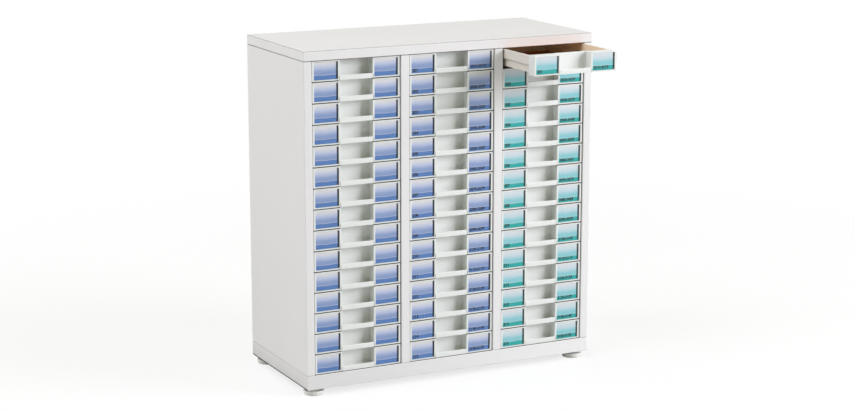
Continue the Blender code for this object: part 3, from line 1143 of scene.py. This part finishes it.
class CABINET_OT_add_feet(bpy.types.Operator):
    """Round levelling feet with threaded stems"""

    bl_idname = "cabinet.add_feet"
    bl_label = "Add Feet"

    def execute(self, context):
        props = context.scene.cabinet_feet
        plastic = moulded_finish("foot_plastic_moulded", props.colour, 0.38, 0.6)
        zinc = zinc_finish("foot_stem_zinc")
        base_low, _ = node_box("base_board")
        for name in FEET:
            low, high = node_box(name)
            radius, top = (high[0] - low[0]) / 2, high[2] - low[2]
            skin = foot_skin(props, radius, base_low[2] - props.seat_gap - low[2], top)
            place = ((low[0] + high[0]) / 2, (low[1] + high[1]) / 2, low[2])
            add_piece(f"{name}_dressed", skin, place, [plastic, zinc], name, [name])
        return {"FINISHED"}


# Stage


def add_lamp(props, name):
    """A square lamp that faces the cabinet. Its azimuth counts from the front to the right."""
    azimuth, elevation, side = LAMPS[name]
    a, e = np.radians(azimuth), np.radians(elevation)
    towards = Vector((np.sin(a) * np.cos(e), -np.cos(a) * np.cos(e), np.sin(e)))
    data = bpy.data.lights.new(name, "AREA")
    data.shape, data.size, data.color = "SQUARE", side, props.lamp_colour
    data.energy = getattr(props, f"{name}_power")
    lamp = new_object(name, data)
    lamp.location = Vector(np.mean(CAD_BOX, axis=0)) + towards * props.lamp_distance
    lamp.rotation_euler = towards.to_track_quat("Z", "Y").to_euler()


def shown_rays(web):
    """1 for the rays that show the background: from the camera, in gloss and through clear pieces."""
    kinds = ("Camera", "Glossy", "Transmission")
    seen, gloss, clear = (web.node("ShaderNodeLightPath", output=f"Is {kind} Ray") for kind in kinds)
    return web.math("ADD", seen + gloss, clear, clamp=True)


@finish_maker
def floor_finish(web, props):
    """Pale paint that takes the shadow. It shows mostly as plain white, and far off all white."""
    shown = shown_rays(web)
    distance = web.node("ShaderNodeVectorMath", {"operation": "LENGTH"}, {0: web.place()}, "Value")
    share = web.smooth_step(distance, props.floor_near, props.floor_far, props.floor_glow)
    colour = web.mix(shown, props.bounce_colour, props.floor_colour)
    paint = web.node("ShaderNodeBsdfDiffuse", inputs={"Color": colour})
    white = web.node("ShaderNodeEmission", inputs={"Color": WHITE, "Strength": 1.0})
    shader = web.node("ShaderNodeMixShader", inputs={0: shown * share, 1: paint, 2: white})
    web.node("ShaderNodeOutputMaterial", inputs={"Surface": shader})


def add_floor(props):
    """A plain square floor."""
    half = props.floor_half
    grid = np.stack(np.meshgrid([-half, half], [-half, half]), axis=-1).reshape(-1, 2)
    mesh = bpy.data.meshes.new("floor")
    mesh.from_pydata([(x, y, 0.0) for x, y in grid], [], [(0, 1, 3, 2)])
    mesh.materials.append(floor_finish("floor_paint", props))
    floor = new_object("floor", mesh)


def add_world(props):
    """Even light from all round, which shows as white behind the cabinet and in its gloss."""
    world = bpy.data.worlds.new("studio")
    bpy.context.scene.world = world
    world.use_nodes = True
    web = Web(world.node_tree)
    light = {"Color": opaque(props.ambient_colour), "Strength": props.ambient}
    even = web.node("ShaderNodeBackground", inputs=light)
    white = web.node("ShaderNodeBackground", inputs={"Color": WHITE, "Strength": 1.0})
    shader = web.node("ShaderNodeMixShader", inputs={0: shown_rays(web), 1: even, 2: white})
    web.node("ShaderNodeOutputWorld", inputs={"Surface": shader})


def add_camera(props):
    """The camera at the photograph's place."""
    data = bpy.data.cameras.new("camera")
    data.lens, data.sensor_width = props.camera_lens, SENSOR_MILLIMETRES
    camera = new_object("camera", data)
    camera.location = props.camera_place
    camera.rotation_euler = (np.pi / 2 - props.camera_pitch, 0.0, -props.camera_yaw)
    bpy.context.scene.camera = camera


class CABINET_OT_set_stage(bpy.types.Operator):
    """Pale floor, soft lamps, even surroundings and the camera"""

    bl_idname = "cabinet.set_stage"
    bl_label = "Set Stage"

    def execute(self, context):
        props = context.scene.cabinet_stage
        context.scene.view_settings.view_transform = "Standard"
        add_floor(props)
        add_world(props)
        for name in LAMPS:
            add_lamp(props, name)
        add_camera(props)
        return {"FINISHED"}


# Panel and registration


class CABINET_PT_build(bpy.types.Panel):
    """Lists the steps that dress the cabinet"""

    bl_idname = "CABINET_PT_build"
    bl_label = "Multi-drawer cabinet"
    bl_space_type = "VIEW_3D"
    bl_region_type = "UI"
    bl_category = "Cabinet"

    def draw(self, context):
        for group, _, operators in STEPS:
            box = self.layout.box()
            props = getattr(context.scene, group)
            for name in props.__annotations__:
                box.prop(props, name)
            for operator in operators:
                box.operator(operator.bl_idname)


STEPS = (
    (
        "cabinet_boards",
        CabinetBoards,
        (CABINET_OT_add_boards, CABINET_OT_add_back, CABINET_OT_finish_runners, CABINET_OT_add_strips),
    ),
    ("cabinet_drawers", CabinetDrawers, (CABINET_OT_add_drawers, CABINET_OT_add_bottoms)),
    ("cabinet_labels", CabinetLabels, (CABINET_OT_add_labels, CABINET_OT_add_covers)),
    ("cabinet_feet", CabinetFeet, (CABINET_OT_add_feet,)),
    ("cabinet_stage", CabinetStage, (CABINET_OT_set_stage,)),
)
CLASSES = (*(item for _, group, operators in STEPS for item in (group, *operators)), CABINET_PT_build)


def register():
    """Registers the classes and hangs the property groups on the scene."""
    for item in CLASSES:
        bpy.utils.register_class(item)
    for name, group, _ in STEPS:
        setattr(bpy.types.Scene, name, bpy.props.PointerProperty(type=group))


def unregister():
    """Takes the property groups off the scene and unregisters the classes."""
    for name, _, _ in STEPS:
        delattr(bpy.types.Scene, name)
    for item in reversed(CLASSES):
        bpy.utils.unregister_class(item)


def main():
    """Dresses the cabinet step by step."""
    register()
    bpy.ops.cabinet.add_boards()
    bpy.ops.cabinet.add_back()
    bpy.ops.cabinet.finish_runners()
    bpy.ops.cabinet.add_strips()
    bpy.ops.cabinet.add_drawers()
    bpy.ops.cabinet.add_bottoms()
    bpy.ops.cabinet.add_labels()
    bpy.ops.cabinet.add_covers()
    bpy.ops.cabinet.add_feet()
    bpy.ops.cabinet.set_stage()


if __name__ == "__main__":
    main()
